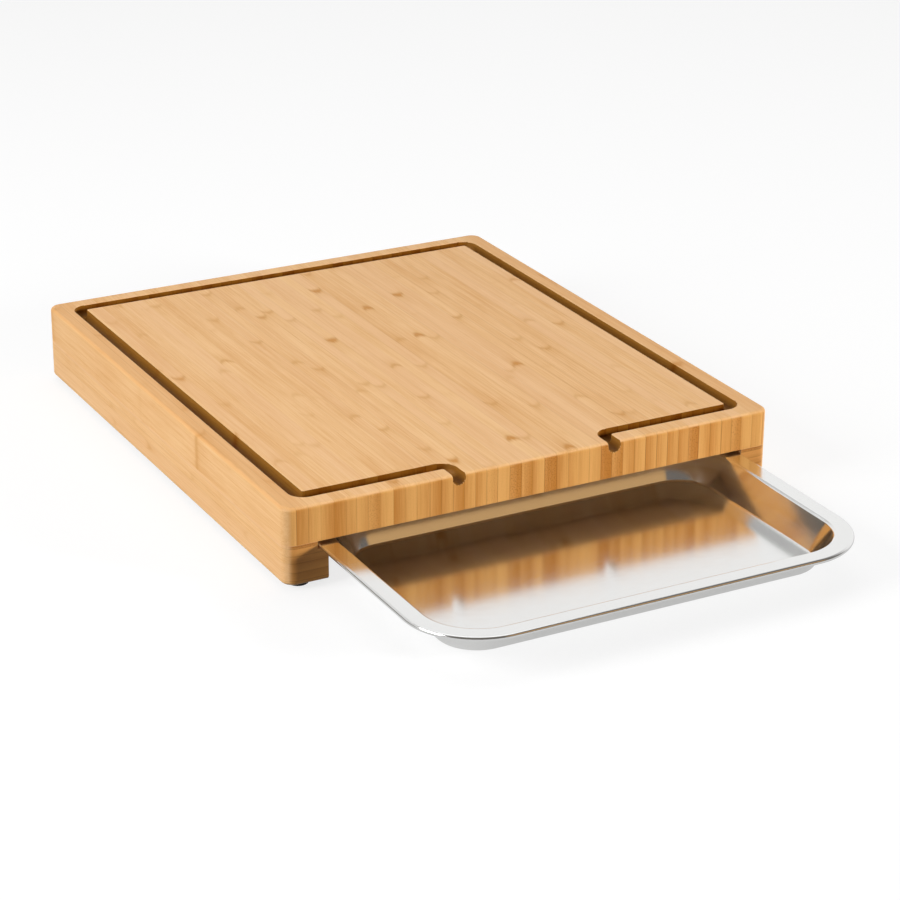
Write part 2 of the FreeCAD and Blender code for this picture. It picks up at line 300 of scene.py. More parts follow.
def smooth(piece: bpy.types.Object, crease_angle: float = CREASE_ANGLE) -> None:
    """Shades an object smooth over its curves and flat over its flat faces.

    Args:
        piece: the object.
        crease_angle: the least angle between faces that stays a crease.
    """
    piece.data.shade_smooth()
    piece.data.set_sharp_from_angle(angle=crease_angle)
    weighting = piece.modifiers.new("FlatFaces", "WEIGHTED_NORMAL")
    weighting.keep_sharp = True


# -------------------------------------------------------------------------------------- finishes


class Graph:
    """Adds nodes to a node tree and joins them up."""

    # Where a Mix node keeps its sockets for colours, among those for numbers and vectors.
    MIX_AMOUNT, MIX_FIRST, MIX_SECOND, MIX_RESULT = 0, 6, 7, 2
    # The chances between which minus turns into plus.
    EVEN_CHANCE = (0.4, 0.6)

    def __init__(self, tree: bpy.types.NodeTree) -> None:
        """Starts with an empty tree."""
        self.tree = tree
        tree.nodes.clear()

    def node(self, kind: str, inputs: dict | None = None, **settings: object) -> bpy.types.Node:
        """Adds a node.

        Args:
            kind: its type, without the ShaderNode in front.
            inputs: a value or a socket for each of its inputs that needs one.
            settings: its other settings.

        Returns:
            The node.
        """
        node = self.tree.nodes.new(f"ShaderNode{kind}")
        for name, value in settings.items():
            setattr(node, name, value)
        for name, value in (inputs or {}).items():
            self.feed(node.inputs[name], value)
        return node

    def feed(self, socket: Socket, value: object) -> None:
        """Gives an input a value, or joins it to an output."""
        if isinstance(value, Socket):
            self.tree.links.new(value, socket)
        else:
            socket.default_value = value

    def math(self, operation: str, *values: Number) -> Socket:
        """The result of a sum on numbers."""
        return self.node("Math", dict(enumerate(values)), operation=operation).outputs[0]

    def between(
        self, value: Number, low: float, high: float, at_low: float = 0.0, at_high: float = 1.0
    ) -> Socket:
        """Maps a number smoothly from one range to another.

        Args:
            value: the number.
            low: the start of its range.
            high: the end of its range.
            at_low: the result at the start.
            at_high: the result at the end.

        Returns:
            The result's socket.
        """
        inputs = {"Value": value, "From Min": low, "From Max": high, "To Min": at_low, "To Max": at_high}
        return self.node("MapRange", inputs, interpolation_type="SMOOTHSTEP").outputs[0]

    def fade(self, value: Number, start: float, end: float) -> Socket:
        """Maps a number from 1 at the start of a range to 0 at its end."""
        return self.between(value, start, end, 1.0, 0.0)

    def either_way(self, chance: Number, size: float) -> Socket:
        """Turns a chance from 0 to 1 into minus or plus a size, with few values between."""
        return self.between(chance, *self.EVEN_CHANCE, -size, size)

    def mixed(self, amount: Number, first: Paint, second: Paint, blend: str = "MIX") -> Socket:
        """Mixes two colours.

        Args:
            amount: how much of the second colour, from 0 to 1.
            first: the first colour.
            second: the second colour.
            blend: the way to mix them.

        Returns:
            The mixed colour's socket.
        """
        node = self.node("Mix", data_type="RGBA", blend_type=blend)
        self.feed(node.inputs[self.MIX_AMOUNT], amount)
        self.feed(node.inputs[self.MIX_FIRST], first)
        self.feed(node.inputs[self.MIX_SECOND], second)
        return node.outputs[self.MIX_RESULT]

    def noise(self, place: Socket, detail: float, roughness: float = 0.5) -> Socket:
        """Noise of one unit's grain at a place."""
        inputs = {"Vector": place, "Scale": 1.0, "Detail": detail, "Roughness": roughness}
        return self.node("TexNoise", inputs).outputs["Fac"]

    def cells(self, place: Number, variation: float, feature: str = "F1") -> bpy.types.bpy_prop_collection:
        """The outputs of a row of cells, one unit long each with some variation."""
        inputs = {"W": place, "Scale": 1.0, "Randomness": variation}
        return self.node("TexVoronoi", inputs, voronoi_dimensions="1D", feature=feature).outputs

    def parts(self, vector: Socket) -> bpy.types.bpy_prop_collection:
        """The three numbers in a vector."""
        return self.node("SeparateXYZ", {"Vector": vector}).outputs

    def place(self, *scale: float) -> Socket:
        """The place on the object.

        Args:
            scale: how much to scale it by, along X, Y and Z.

        Returns:
            The scaled place's socket.
        """
        mapping = self.node("Mapping", {"Vector": self.node("TexCoord").outputs["Object"]})
        mapping.inputs["Scale"].default_value = scale
        return mapping.outputs[0]

    def vector(self, across: Number, along: Number, up: Number) -> Socket:
        """A vector from three numbers."""
        return self.node("CombineXYZ", {"X": across, "Y": along, "Z": up}).outputs[0]

    def bumpy(self, height: Socket, strength: float, relief: float) -> Socket:
        """The normal of a surface with bumps of some height on it."""
        return self.node("Bump", {"Strength": strength, "Distance": relief, "Height": height}).outputs[0]

    def surface(self, colour: Paint, roughness: Socket, **inputs: object) -> None:
        """Ends a material in its shader.

        Args:
            colour: the surface's colour.
            roughness: its roughness.
            inputs: a value or a socket for each other input, named with _ for each space.
        """
        given = {name.replace("_", " "): value for name, value in inputs.items()}
        shader = self.node("BsdfPrincipled", {"Base Color": colour, "Roughness": roughness, **given})
        self.node("OutputMaterial", {"Surface": shader.outputs[0]})


def new_material(name: str) -> tuple[bpy.types.Material, Graph]:
    """Makes an empty material.

    Args:
        name: its name.

    Returns:
        The material and its nodes.
    """
    material = bpy.data.materials.new(name)
    material.use_nodes = True
    return material, Graph(material.node_tree)


def srgb(red: int, green: int, blue: int) -> Colour:
    """Turns an sRGB colour into a linear one.

    Args:
        red: its red, from 0 to 255.
        green: its green, from 0 to 255.
        blue: its blue, from 0 to 255.

    Returns:
        The linear colour, with full opacity.
    """

    def linear(level: int) -> float:
        """One channel's linear value."""
        share = level / 255
        return share / 12.92 if share <= 0.04045 else ((share + 0.055) / 1.055) ** 2.4

    return (linear(red), linear(green), linear(blue), 1.0)


class Layup(Enum):
    """The way that the bamboo strips of a piece lie, and the way they run."""

    ON_EDGE = "strips on edge, side by side, running from front to back"
    STACKED_LENGTHWAYS = "strips in flat layers, running from front to back"
    STACKED_ACROSS = "strips in flat layers, running from left to right"


@dataclass(frozen=True)
class Strips:
    """What the nodes know about the bamboo strips at one place.

    The place is in millimetres across the strips, along them and up through them. How far it lies
    off its strip's middle is in widths of a strip. Each strip has its own tone, start and age, which
    are chances from 0 to 1.
    """

    across: Socket
    along: Socket
    up: Socket
    off_middle: Socket
    tone: Socket
    start: Socket
    age: Socket


@dataclass(frozen=True)
class Streaks:
    """One kind of streak in the wood, with its width and length in millimetres."""

    width: float
    length: float
    detail: float
    share: float
    roughness: float = 0.6

    def noise(self, graph: Graph, across: Number, along: Number, up: Number) -> Socket:
        """Makes the noise that the streaks are.

        Args:
            graph: the material's nodes.
            across: millimetres across the strips.
            along: millimetres along them.
            up: millimetres up through them.

        Returns:
            The noise's socket.
        """
        drawn_out = graph.vector(
            graph.math("DIVIDE", across, self.width),
            graph.math("DIVIDE", along, self.length),
            graph.math("DIVIDE", up, self.width),
        )
        return graph.noise(drawn_out, self.detail, self.roughness)


@dataclass(frozen=True)
class CaneJoints:
    """The bowed mark that each joint of the cane leaves across a strip.

    A mark is a line, a glow that is strongest in the middle of the strip, and a tail on one side of
    the line. Sizes are in millimetres, apart from the span across the glow, which is in widths of a
    strip, and the shuffle of the strips against each other, which is in spacings.
    """

    strength: float = 1.0
    spacing: float = 138.0
    variation: float = 0.5
    shuffle: float = 37.0
    bow: float = 17.0
    raggedness: float = 7.0
    line: Span = (0.2, 3.4)
    line_share: float = 0.26
    glow: Span = (0.8, 7.0)
    glow_share: float = 0.42
    glow_across: Span = (0.1, 0.45)
    glow_at_sides: float = 0.35
    blot_chance: Span = (0.4, 0.9)
    blot_strength: Span = (0.4, 1.6)
    tail: float = 22.0
    tail_share: float = 0.16
    tail_start: Span = (-5.0, 2.0)
    strong_chance: Span = (0.1, 0.9)
    faintest: float = 0.1
    strongest: float = 1.3
    colour: Colour = srgb(208, 142, 60)

    def mark(self, graph: Graph, side: Socket, strips: Strips, fibres: Socket) -> Socket:
        """Adds the marks to the colour of the strips' sides.

        Args:
            graph: the material's nodes.
            side: the colour of the strips' sides.
            strips: where the strips are.
            fibres: the fibres' noise.

        Returns:
            The colour with the marks.
        """
        place = graph.math("DIVIDE", strips.along, self.spacing)
        place = graph.math("MULTIPLY_ADD", strips.start, self.shuffle, place)
        cane = graph.cells(place, self.variation)
        strong, way, blot = graph.parts(cane["Color"])
        away = graph.math("MULTIPLY", graph.math("SUBTRACT", place, cane["W"]), self.spacing)
        turned = graph.either_way(way, 1.0)
        square = graph.math("POWER", strips.off_middle, 2.0)
        bow = graph.math("MULTIPLY", square, graph.math("MULTIPLY", turned, self.bow))
        ragged = graph.math("MULTIPLY_ADD", fibres, self.raggedness, -self.raggedness / 2)
        away = graph.math("ADD", graph.math("ADD", away, bow), ragged)
        near = graph.math("ABSOLUTE", away)
        line = graph.math("MULTIPLY", graph.fade(near, *self.line), self.line_share)
        glow = graph.math("MULTIPLY", graph.fade(near, *self.glow), self.glow_share)
        aside = graph.math("ABSOLUTE", strips.off_middle)
        core = graph.between(aside, *self.glow_across, 1.0, self.glow_at_sides)
        blots = graph.between(blot, *self.blot_chance, *self.blot_strength)
        blotch = graph.math("MULTIPLY", graph.math("MULTIPLY", glow, core), blots)
        behind = graph.math("MULTIPLY", away, turned)
        fading = graph.between(behind, 0.0, self.tail, self.tail_share, 0.0)
        tail = graph.math("MULTIPLY", fading, graph.between(behind, *self.tail_start))
        marks = graph.math("ADD", graph.math("ADD", line, blotch), tail)
        least, most = self.faintest * self.strength, self.strongest * self.strength
        strength = graph.between(strong, *self.strong_chance, least, most)
        return graph.mixed(graph.math("MULTIPLY", marks, strength), side, self.colour)


@dataclass(frozen=True)
class Bamboo:
    """Glued bamboo strips, sanded and oiled.

    The strips show fine fibres along their length, a bowed mark across each one wherever its cane
    had a joint, and streaks, glue lines and dark bundles of fibre on their sawn ends. Where a flank
    is given, the strips further from the middle than that are deeper in colour on top. Sizes are in
    millimetres, apart from the relief, which is in metres.
    """

    name: str
    layup: Layup
    strip: float = 8.0
    strip_variation: float = 0.3
    contrast: float = 1.0
    flank: float = 0.0
    flank_width: float = 14.0
    flank_share: float = 0.45
    offset: float = 1000.0
    strip_shuffle: float = 900.0
    top_facing: Span = (0.3, 0.7)
    end_facing: Span = (0.7, 0.95)
    sheen: float = 0.3
    roughness: Span = (0.42, 0.56)
    relief: float = 0.2 * MM
    relief_strength: float = 0.14
    joints: CaneJoints = CaneJoints()
    fibres: Streaks = Streaks(0.55, 42.0, 3.0, 1.0)
    bands: Streaks = Streaks(2.4, 150.0, 2.0, 0.8)
    patches: Streaks = Streaks(14.0, 70.0, 1.0, 0.45)
    pores: Streaks = Streaks(0.35, 24.0, 1.0, 0.6)
    pore_noise: Span = (0.6, 0.8)
    tone_share: float = 0.26
    deepening: Span = (0.8, 1.95)
    rosy_age: Span = (0.45, 0.9)
    rosy_share: float = 0.55
    rosy_depth: float = 0.6
    end_streaks: Streaks = Streaks(1.1, 1.0, 2.0, 0.55)
    end_streak_stretch: float = 30.0
    end_groups: Streaks = Streaks(42.0, 1.0, 1.0, 0.7)
    end_tone_share: float = 0.42
    dense_side: float = 0.35
    old_age: Span = (0.8, 0.92)
    old_share: float = 0.4
    end_deepening: Span = (0.4, 1.4)
    bundle_noise: Span = (0.5, 0.68)
    bundle_width: float = 0.7
    bundle_height: float = 0.8
    bundle_strength: Span = (0.07, 0.55)
    glue_width: float = 0.4
    glue_chance: Span = (0.3, 0.9)
    glue_strength: Span = (0.25, 1.0)
    glue_on_sides: float = 0.2
    glue_added_on_ends: float = 0.5
    glue_depth: float = 0.5
    pale: Colour = srgb(245, 198, 140)
    deep: Colour = srgb(222, 161, 94)
    rosy: Colour = srgb(240, 190, 141)
    end_pale: Colour = srgb(236, 176, 101)
    end_deep: Colour = srgb(196, 126, 52)
    glue: Colour = srgb(140, 78, 26)
    # Multiplies the whole colour; on the groove's wood it is painted shade.
    tint: Colour = WHITE

    def material(self) -> bpy.types.Material:
        """Builds the material.

        Returns:
            The material.
        """
        material, graph = new_material(self.name)
        across, along, up = self.directions(graph)
        place = graph.math("DIVIDE", across, self.strip)
        cells = graph.cells(place, self.strip_variation)
        edges = graph.cells(place, self.strip_variation, "DISTANCE_TO_EDGE")
        off_middle = graph.math("SUBTRACT", place, cells["W"])
        strips = Strips(across, along, up, off_middle, *graph.parts(cells["Color"]))

        side, fibres = self.long_grain(graph, strips)
        side = self.joints.mark(graph, side, strips, fibres)
        facing = graph.parts(graph.node("TexCoord").outputs["Normal"])
        if self.flank:
            side = self.deepen_flanks(graph, side, across, facing["Z"])
        ends = facing["X"] if self.layup is Layup.STACKED_ACROSS else facing["Y"]
        sawn = graph.between(graph.math("ABSOLUTE", ends), *self.end_facing)
        colour = graph.mixed(sawn, side, self.end_grain(graph, strips))
        seam = graph.math("MULTIPLY", edges["Distance"], self.strip)
        line = graph.fade(seam, 0.0, self.glue_width)
        shown = graph.between(strips.start, *self.glue_chance, *self.glue_strength)
        marked = graph.math("MULTIPLY", line, shown)
        strength = graph.math("MULTIPLY_ADD", sawn, self.glue_added_on_ends, self.glue_on_sides)
        colour = graph.mixed(graph.math("MULTIPLY", marked, strength), colour, self.glue)
        # The tint: painted shade wherever it is darker than white.
        colour = graph.mixed(1.0, colour, self.tint, "MULTIPLY")

        height = graph.math("MULTIPLY_ADD", line, -self.glue_depth, fibres)
        normal = graph.bumpy(height, self.relief_strength, self.relief)
        rough = graph.between(fibres, *MOST_NOISE, *self.roughness)
        graph.surface(colour, rough, Normal=normal, Specular_IOR_Level=self.sheen)
        return material

    def directions(self, graph: Graph) -> tuple[Socket, Socket, Socket]:
        """The millimetres across the strips, along them and up through them.

        Args:
            graph: the material's nodes.

        Returns:
            The three sockets.
        """
        place = graph.node("Mapping", {"Vector": graph.node("TexCoord").outputs["Object"]})
        place.inputs["Scale"].default_value = (MM_PER_METRE, MM_PER_METRE, MM_PER_METRE)
        place.inputs["Location"].default_value = (self.offset, self.offset, self.offset)
        x, y, z = graph.parts(place.outputs[0])
        if self.layup is Layup.ON_EDGE:
            return x, y, z
        if self.layup is Layup.STACKED_LENGTHWAYS:
            return z, y, x
        return z, x, y

    def deepen_flanks(self, graph: Graph, side: Socket, across: Socket, upwards: Socket) -> Socket:
        """Deepens the colour on top of the strips along the board's two sides.

        Args:
            graph: the material's nodes.
            side: the colour of the strips' sides.
            across: millimetres across the strips.
            upwards: how far a face faces up.

        Returns:
            The colour's socket.
        """
        off_centre = graph.math("ABSOLUTE", graph.math("SUBTRACT", across, self.offset))
        outer = graph.between(off_centre, self.flank, self.flank + self.flank_width)
        outer = graph.math("MULTIPLY", outer, self.flank_share)
        outer = graph.math("MULTIPLY", outer, graph.between(upwards, *self.top_facing))
        return graph.mixed(outer, side, self.deep)

    def long_grain(self, graph: Graph, strips: Strips) -> tuple[Socket, Socket]:
        """The colour of the strips' sides.

        Args:
            graph: the material's nodes.
            strips: where the strips are.

        Returns:
            The colour's socket and the fibres' socket.
        """
        down = graph.math("MULTIPLY_ADD", strips.start, self.strip_shuffle, strips.along)
        fibres, bands, patches, pores = (
            streaks.noise(graph, strips.across, down, strips.up)
            for streaks in (self.fibres, self.bands, self.patches, self.pores)
        )
        amount = graph.math("MULTIPLY", strips.tone, self.tone_share * self.contrast)
        amount = graph.math("MULTIPLY_ADD", fibres, self.fibres.share, amount)
        amount = graph.math("MULTIPLY_ADD", bands, self.bands.share, amount)
        amount = graph.math("MULTIPLY_ADD", patches, self.patches.share, amount)
        pores = graph.between(pores, *self.pore_noise)
        amount = graph.math("MULTIPLY_ADD", pores, self.pores.share, amount)
        colour = graph.mixed(graph.between(amount, *self.deepening), self.pale, self.deep)
        rosy = graph.math("MULTIPLY", graph.between(strips.age, *self.rosy_age), self.rosy_share)
        return graph.mixed(rosy, colour, graph.mixed(self.rosy_depth, colour, self.rosy)), fibres

    def end_grain(self, graph: Graph, strips: Strips) -> Socket:
        """The colour of the strips' sawn ends.

        Args:
            graph: the material's nodes.
            strips: where the strips are.

        Returns:
            The colour's socket.
        """
        tall = graph.math("DIVIDE", strips.up, self.end_streak_stretch)
        streaks = self.end_streaks.noise(graph, strips.across, 0.0, tall)
        groups = self.end_groups.noise(graph, strips.across, 0.0, 0.0)
        amount = graph.math("MULTIPLY", strips.tone, self.end_tone_share * self.contrast)
        amount = graph.math("MULTIPLY_ADD", streaks, self.end_streaks.share, amount)
        amount = graph.math("MULTIPLY_ADD", groups, self.end_groups.share, amount)
        dense = graph.math("MULTIPLY", strips.off_middle, graph.either_way(strips.age, self.dense_side))
        amount = graph.math("ADD", dense, amount)
        old = graph.between(strips.age, *self.old_age)
        amount = graph.math("MULTIPLY_ADD", old, self.old_share, amount)
        colour = graph.mixed(graph.between(amount, *self.end_deepening), self.end_pale, self.end_deep)
        bundles = graph.vector(
            graph.math("DIVIDE", strips.across, self.bundle_width),
            0.0,
            graph.math("DIVIDE", strips.up, self.bundle_height),
        )
        dots = graph.between(graph.noise(bundles, 1.0), *self.bundle_noise)
        strength = graph.between(strips.age, *self.old_age, *self.bundle_strength)
        return graph.mixed(graph.math("MULTIPLY", dots, strength), colour, self.glue)


@dataclass(frozen=True)
class BrushedSteel:
    """Stainless steel sheet with a fine brushed grain and slow waves, whose scales are per metre."""

    name: str = "brushed_steel"
    colour: Colour = (0.83, 0.83, 0.82, 1.0)
    roughness: Span = (0.1, 0.19)
    grain_scale: Place = (90, 4200, 4200)
    grain_detail: float = 3.0
    grain_roughness: float = 0.6
    wave_scale: Place = (14, 14, 14)
    wave_height: float = 8.0
    relief: float = 0.1 * MM
    relief_strength: float = 0.035
    brushing: float = 0.5

    def material(self) -> bpy.types.Material:
        """Builds the material.

        Returns:
            The material.
        """
        material, graph = new_material(self.name)
        grain = graph.noise(graph.place(*self.grain_scale), self.grain_detail, self.grain_roughness)
        waves = graph.noise(graph.place(*self.wave_scale), 1.0)
        rough = graph.between(grain, *MOST_NOISE, *self.roughness)
        height = graph.math("MULTIPLY_ADD", waves, self.wave_height, grain)
        normal = graph.bumpy(height, self.relief_strength, self.relief)
        across = graph.node("Tangent", direction_type="RADIAL", axis="X").outputs[0]
        brushed = {"Anisotropic": self.brushing, "Tangent": across}
        graph.surface(self.colour, rough, Normal=normal, Metallic=1.0, **brushed)
        return material


@dataclass(frozen=True)
class ScrewSteel:
    """Plain zinc-plated steel, mottled at a scale per metre."""

    name: str = "screw_steel"
    colour: Colour = (0.62, 0.61, 0.6, 1.0)
    roughness: Span = (0.28, 0.42)
    mottle_scale: Place = (900, 900, 900)

    def material(self) -> bpy.types.Material:
        """Builds the material.

        Returns:
            The material.
        """
        material, graph = new_material(self.name)
        mottle = graph.noise(graph.place(*self.mottle_scale), 2.0)
        rough = graph.between(mottle, *MIDDLE_NOISE, *self.roughness)
        graph.surface(self.colour, rough, Metallic=1.0)
        return material


@dataclass(frozen=True)
class Rubber:
    """Matt black rubber with a faint moulded grain in two near blacks, whose scale is per metre."""

    name: str = "foot_rubber"
    colour: Colour = srgb(34, 33, 32)
    pale_colour: Colour = srgb(46, 45, 43)
    roughness: Span = (0.62, 0.78)
    grain_scale: Place = (2500, 2500, 2500)
    relief: float = 0.05 * MM
    relief_strength: float = 0.25

    def material(self) -> bpy.types.Material:
        """Builds the material.

        Returns:
            The material.
        """
        material, graph = new_material(self.name)
        grain = graph.noise(graph.place(*self.grain_scale), 3.0)
        normal = graph.bumpy(grain, self.relief_strength, self.relief)
        rough = graph.between(grain, *MIDDLE_NOISE, *self.roughness)
        tint = graph.mixed(grain, self.colour, self.pale_colour)
        graph.surface(tint, rough, Normal=normal)
        return material


# ------------------------------------------------------------------------------------- the board


@dataclass
class JuiceGroove:
    """The groove round the slab's top, and its two outlets in the slab's front."""

    width: float = 8.5 * MM
    depth: float = 7 * MM
    inset: float = 16.5 * MM
    corner_radius: float = 6 * MM
    outlet_spacing: float = 109 * MM
    floor_steps: int = 16
    bend_steps: int = 10

    def tool(self, low: Vector, high: Vector) -> bmesh.types.BMesh:
        """Makes the shape that the groove is cut with.

        Args:
            low: the slab's lowest corner.
            high: its highest corner.

        Returns:
            A closed mesh.
        """
        mesh = bmesh.new()
        radius = self.width / 2
        start = Vector((-self.outlet_spacing / 2, low.y - OVERRUN, high.z + OVERRUN))
        first = bmesh.ops.create_vert(mesh, co=start - X * radius)["vert"]
        section = Sweep(mesh, first, start - X * radius, -Z, Y)
        wall = self.depth - radius + OVERRUN
        section.run(wall).bend(radius, -math.pi, self.floor_steps).run(wall)
        bmesh.ops.contextual_create(mesh, geom=[*first, *section.outline])

        across = high.x - low.x - 2 * self.inset
        deep = high.y - low.y - 2 * self.inset
        corner, bends = self.corner_radius, self.bend_steps
        outlet = self.inset + OVERRUN - corner
        front = (across - self.outlet_spacing) / 2 - 2 * corner
        path = Sweep(mesh, [*mesh.verts, *mesh.edges], start, Y, Z)
        path.run(outlet).bend(corner, QUARTER, bends).run(front).bend(corner, -QUARTER, bends)
        path.run(deep - 2 * corner).bend(corner, -QUARTER, bends)
        path.run(across - 2 * corner).bend(corner, -QUARTER, bends)
        path.run(deep - 2 * corner).bend(corner, -QUARTER, bends)
        path.run(front).bend(corner, QUARTER, bends).run(outlet)
        close_ends(mesh)
        return mesh


@dataclass
class CuttingSlab:
    """The slab that the board is cut on."""

    node: str = "cutting_slab"
    corner_radius: float = 8 * MM
    top_radius: float = 2.5 * MM
    bottom_radius: float = 0.2 * MM
    groove_edge_radius: float = 0.45 * MM
    groove: JuiceGroove = field(default_factory=JuiceGroove)
    wood: Bamboo = Bamboo("slab_bamboo", Layup.ON_EDGE, flank=150.0)
    # The groove's wood is the slab's bamboo multiplied by a dark tint: painted shade in the groove.
    shaded_groove_wood: Bamboo = Bamboo(
        "shaded_groove_bamboo", Layup.ON_EDGE, sheen=0.1, tint=(0.35, 0.255, 0.09, 1.0)
    )

    def build(self) -> bpy.types.Object:
        """Makes the slab.

        Returns:
            Its object.
        """
        low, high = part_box(self.node)
        mesh = bmesh.new()
        block(mesh, low, high)
        round_off(mesh, upright_edges(mesh), self.corner_radius, CORNER_STEPS)
        round_off(mesh, edges_at(mesh, Z, high.z), self.top_radius, EDGE_STEPS)
        round_off(mesh, edges_at(mesh, Z, low.z), self.bottom_radius, EASED_STEPS)
        mesh = cut(mesh, self.groove.tool(low, high))
        both = {0, 1}
        lips = [
            edge
            for edge in crisp_edges(mesh)
            if {face.material_index for face in edge.link_faces} == both
        ]
        round_off(mesh, lips, self.groove_edge_radius, EASED_STEPS)
        slab = finished(mesh, "slab", self.wood.material(), self.shaded_groove_wood.material())
        smooth(slab)
        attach(slab, "board")
        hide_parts(self.node)
        return slab


class Side(Enum):
    """The board's two sides, and which way along X each of them lies."""

    LEFT = -1
    RIGHT = 1


@dataclass
class SideRail:
    """A rail under one side of the slab, with the slot that the tray's rim runs in."""

    node: str
    side: Side
    corner_radius: float = 8 * MM
    slot_height: float = 5 * MM
    slot_depth: float = 7 * MM
    slot_length: float = 175.2 * MM
    slot_end_radius: float = 6 * MM
    slot_end_steps: int = 8
    bottom_radius: float = 2.2 * MM
    eased_edge: float = 0.2 * MM
    pilot_radius: float = 1.55 * MM
    pilot_depth: float = 14 * MM
    pilot_sides: int = 24
    foot_inset_across: float = 13 * MM
    foot_inset_along: float = 11.5 * MM
    wood: Bamboo = Bamboo(
        "rail_bamboo",
        Layup.STACKED_LENGTHWAYS,
        strip=5.2,
        contrast=0.4,
        joints=CaneJoints(strength=0.5),
        # Sawn ends deeper than the slab's: painted shade for the tray's shadow on the rails' front ends,
        # set on every sawn end.
        end_pale=srgb(212, 148, 78),
        end_deep=srgb(160, 98, 38),
    )

    def build(self) -> bpy.types.Object:
        """Makes the rail.

        Returns:
            Its object.
        """
        low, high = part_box(self.node)
        outer, inner = (low.x, high.x) if self.side is Side.LEFT else (high.x, low.x)
        mesh = bmesh.new()
        block(mesh, low, high)
        corners = [edge for edge in upright_edges(mesh) if abs(edge.verts[0].co.x - outer) < MM]
        round_off(mesh, corners, self.corner_radius, CORNER_STEPS)
        rim = [
            edge
            for edge in edges_at(mesh, Z, low.z)
            if any(abs(vert.co.x - inner) > MM for vert in edge.verts)
        ]
        round_off(mesh, rim, self.bottom_radius, EDGE_STEPS)
        mesh = cut(mesh, self.slot_tool(inner, low, high))
        mesh = cut(mesh, self.pilot_tool(outer, low, high))
        for face in mesh.faces:
            face.material_index = 0
        round_off(mesh, crisp_edges(mesh), self.eased_edge, EASED_STEPS)
        rail = finished(mesh, f"{self.node}_wood", self.wood.material())
        smooth(rail)
        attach(rail, "board")
        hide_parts(self.node)
        return rail

    def slot_tool(self, inner: float, low: Vector, high: Vector) -> bmesh.types.BMesh:
        """Makes the shape that the slot is cut with.

        Args:
            inner: where the rail's side towards the bay lies.
            low: the rail's lowest corner.
            high: its highest corner.

        Returns:
            A closed mesh.
        """
        mesh = bmesh.new()
        outwards = self.side.value
        deep = inner + outwards * self.slot_depth
        ends = sorted((inner - outwards * OVERRUN, deep))
        start = Vector((ends[0], low.y - OVERRUN, high.z - self.slot_height))
        stop = Vector((ends[1], low.y + self.slot_length, high.z + OVERRUN))
        block(mesh, start, stop)
        end = [
            edge
            for edge in upright_edges(mesh)
            if abs(edge.verts[0].co.x - deep) < MM and abs(edge.verts[0].co.y - stop.y) < MM
        ]
        round_off(mesh, end, self.slot_end_radius, self.slot_end_steps)
        return mesh

    def pilot_tool(self, outer: float, low: Vector, high: Vector) -> bmesh.types.BMesh:
        """Makes the shape that the two pilot holes are drilled with.

        Args:
            outer: where the rail's outer side lies.
            low: the rail's lowest corner.
            high: its highest corner.

        Returns:
            A closed mesh.
        """
        mesh = bmesh.new()
        across = outer - self.side.value * self.foot_inset_across
        for along in (low.y + self.foot_inset_along, high.y - self.foot_inset_along):
            bmesh.ops.create_cone(
                mesh, cap_ends=True, segments=self.pilot_sides, radius1=self.pilot_radius,
                radius2=self.pilot_radius, depth=2 * self.pilot_depth,
                matrix=Matrix.Translation((across, along, low.z)),
            )
        return mesh


@dataclass
class BackRail:
    """The rail that closes the bay at the back."""

    node: str = "back_rail"
    bottom_radius: float = 2.2 * MM
    eased_edge: float = 0.2 * MM
    wood: Bamboo = Bamboo("back_rail_bamboo", Layup.STACKED_ACROSS, strip=5.2, contrast=0.4)

    def build(self) -> bpy.types.Object:
        """Makes the rail.

        Returns:
            Its object.
        """
        low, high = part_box(self.node)
        mesh = bmesh.new()
        block(mesh, low, high)
        back = [edge for edge in edges_at(mesh, Z, low.z) if edge in edges_at(mesh, Y, high.y)]
        round_off(mesh, back, self.bottom_radius, EDGE_STEPS)
        round_off(mesh, crisp_edges(mesh), self.eased_edge, EASED_STEPS)
        rail = finished(mesh, "back_rail_wood", self.wood.material())
        smooth(rail)
        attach(rail, "board")
        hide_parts(self.node)
        return rail


# -------------------------------------------------------------------------------------- the tray


